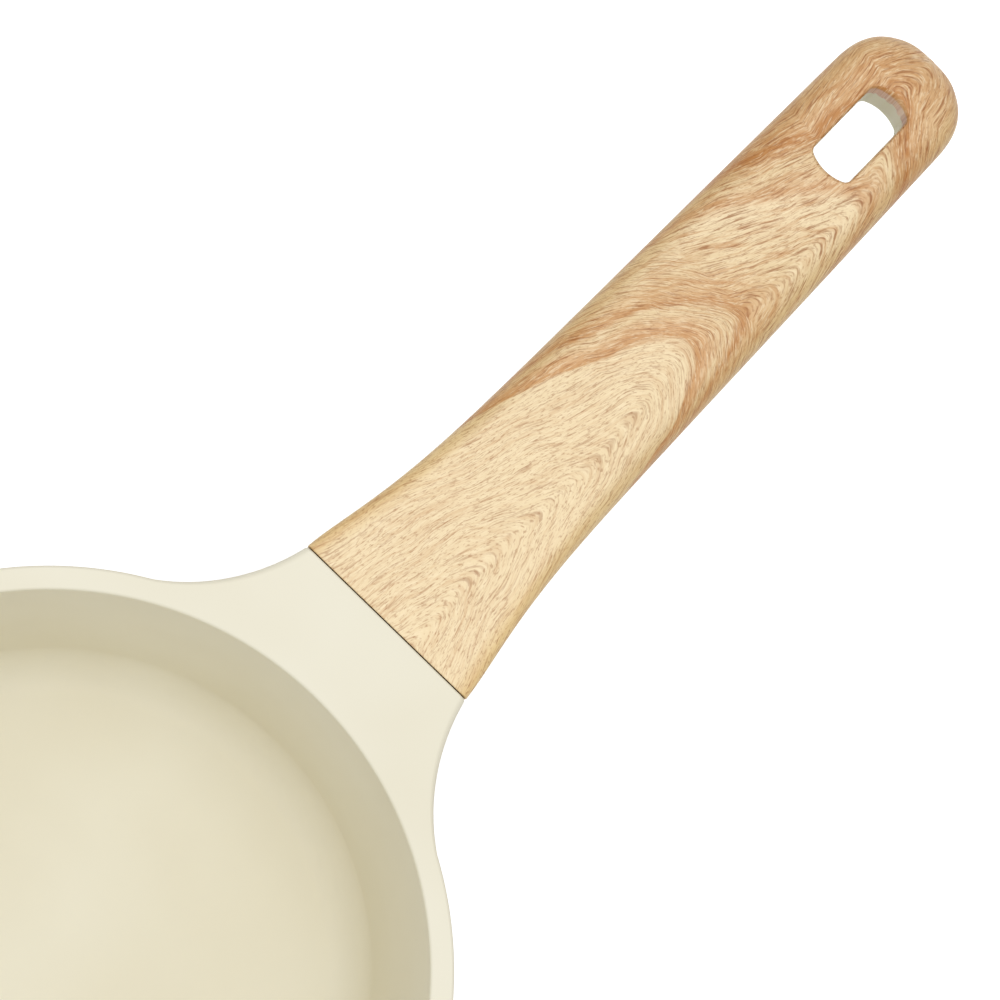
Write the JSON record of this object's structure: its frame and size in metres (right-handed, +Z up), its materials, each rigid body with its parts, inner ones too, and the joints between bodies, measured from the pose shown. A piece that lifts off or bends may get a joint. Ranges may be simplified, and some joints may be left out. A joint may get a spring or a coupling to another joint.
{
  "type": "saucepan with glass lid",
  "caption": "Cream-coated cast saucepan, its flared neck running into a wood-look handle with a hanging slot, with a domed glass lid in a steel band standing beside it.",
  "frame": {"origin": "centre of the pan's underside, on the surface that the pan and the lid stand on", "axes": "+X along the handle, from the pan's axis to the hanging slot; +Z up along the pan's axis; +Y to the left seen from the pan towards the handle"},
  "size_m": [0.5297, 0.169, 0.097],
  "materials": {
    "cream_coating": "cast aluminium under a matt cream ceramic non-stick coating",
    "wood_look_phenolic": "moulded phenolic with a printed pale wood grain under a satin lacquer",
    "stainless_steel": "stamped and brushed stainless steel",
    "zinc_plated_steel": "bright zinc plate",
    "brass": "turned and knurled",
    "tempered_glass": "clear, fire-polished",
    "silicone": "matt translucent grey"
  },
  "bodies": {
    "pan": {"pan_body": "cream_coating", "induction_plate": "stainless_steel", "handle_grip": "wood_look_phenolic", "handle_screw": "zinc_plated_steel", "handle_spring_washer": "zinc_plated_steel"},
    "lid": {"lid_glass": "tempered_glass", "lid_rim_band": "stainless_steel", "vent_eyelet": "stainless_steel", "knob": "wood_look_phenolic", "knob_insert": "brass", "knob_base_plate": "stainless_steel", "knob_gasket": "silicone", "screw_gasket": "silicone", "screw_washer": "stainless_steel", "knob_screw": "stainless_steel"}
  },
  "joints": [
    {"name": "lid_lift", "type": "slide", "parent": "pan", "child": "lid", "axis": [0, 0, 1], "range_m": [0, 0.15]}
  ]
}
